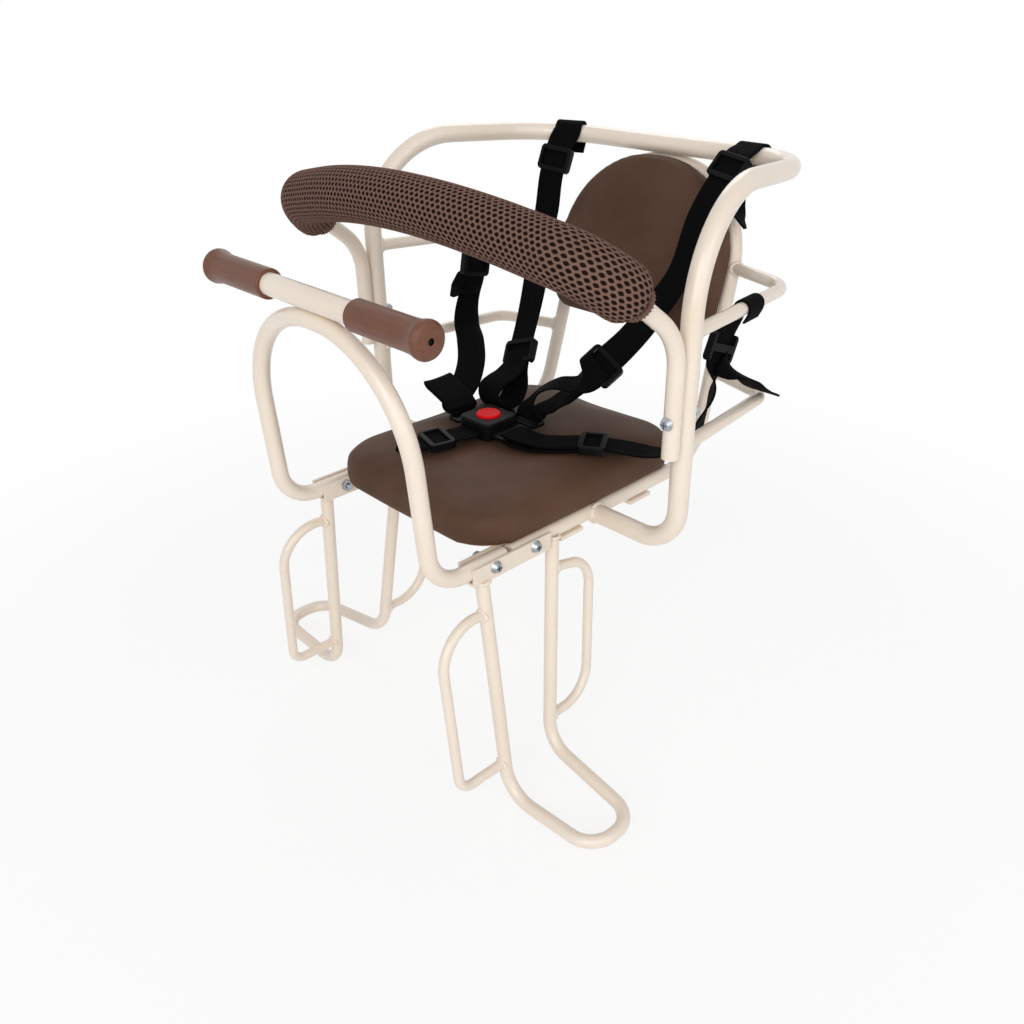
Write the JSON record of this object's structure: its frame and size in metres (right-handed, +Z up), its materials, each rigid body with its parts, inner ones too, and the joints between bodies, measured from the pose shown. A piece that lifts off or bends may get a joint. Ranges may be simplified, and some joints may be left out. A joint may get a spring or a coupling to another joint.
{
  "type": "rear child bike seat",
  "caption": "Rear child seat for a bicycle rack: bent cream tube frame, brown padded seat and backrest, padded front guard, handle grips, footrests and a buckled harness.",
  "frame": {"origin": "centre of the four rack bolt slots, on the underside of the two rack straps", "axes": "+Z up, -Y the child's forward direction, +X the child's left"},
  "size_m": [0.4226, 0.388, 0.4612],
  "materials": {
    "cream_paint": "cream powder coat, satin",
    "zinc_plated_steel": "bright zinc plate",
    "plywood": "bare plywood",
    "brown_upholstery": "grained synthetic leather",
    "brown_mesh": "knitted air mesh",
    "brown_grip": "moulded grip",
    "black_webbing": "woven nylon webbing",
    "black_plastic": "moulded, fine texture",
    "red_button": "gloss"
  },
  "bodies": {
    "seat": {"back_frame": "cream_paint", "backrest_board": "plywood", "backrest_pad": "brown_upholstery", "backrest_screws": "zinc_plated_steel", "backrest_tabs": "cream_paint", "bracket_bolts": "zinc_plated_steel", "bracket_channel_left": "cream_paint", "bracket_channel_right": "cream_paint", "bracket_nuts": "zinc_plated_steel", "buckle_base": "black_plastic", "buckle_cover": "black_plastic", "button_spring": "zinc_plated_steel", "crotch_anchor": "zinc_plated_steel", "crotch_slider": "black_plastic", "crotch_strap": "black_webbing", "footrest_loop_left": "cream_paint", "footrest_loop_right": "cream_paint", "front_leg_guard_left": "cream_paint", "front_leg_guard_right": "cream_paint", "front_loop": "cream_paint", "grip_left": "brown_grip", "grip_right": "brown_grip", "guard_bar": "cream_paint", "guard_bolts": "zinc_plated_steel", "guard_nuts": "zinc_plated_steel", "guard_pad": "brown_mesh", "handle_bar": "cream_paint", "lower_side_arm_left": "cream_paint", "lower_side_arm_right": "cream_paint", "lower_slider_left": "black_plastic", "lower_slider_right": "black_plastic", "rack_strap_front": "cream_paint", "rack_strap_rear": "cream_paint", "rear_leg_guard_left": "cream_paint", "rear_leg_guard_right": "cream_paint", "seat_board": "plywood", "seat_frame": "cream_paint", "seat_pad": "brown_upholstery", "seat_screws": "zinc_plated_steel", "seat_tabs": "cream_paint", "shoulder_strap_left": "black_webbing", "shoulder_strap_right": "black_webbing", "shoulder_tongue_left": "black_plastic", "shoulder_tongue_right": "black_plastic", "side_slider_left": "black_plastic", "side_slider_right": "black_plastic", "upper_side_arm_left": "cream_paint", "upper_side_arm_right": "cream_paint", "upper_slider_left": "black_plastic", "upper_slider_right": "black_plastic", "waist_slider_left": "black_plastic", "waist_strap_left": "black_webbing", "waist_strap_right": "black_webbing", "waist_tongue_left": "black_plastic", "waist_tongue_right": "black_plastic"},
    "button": {"release_button": "red_button"}
  },
  "joints": [
    {"name": "button_press", "type": "slide", "parent": "seat", "child": "button", "axis": [0, 0, -1], "range_m": [0, 0.003], "stiffness_N_per_m": 900, "springref_m": -0.002, "deforming": ["button_spring"]}
  ]
}
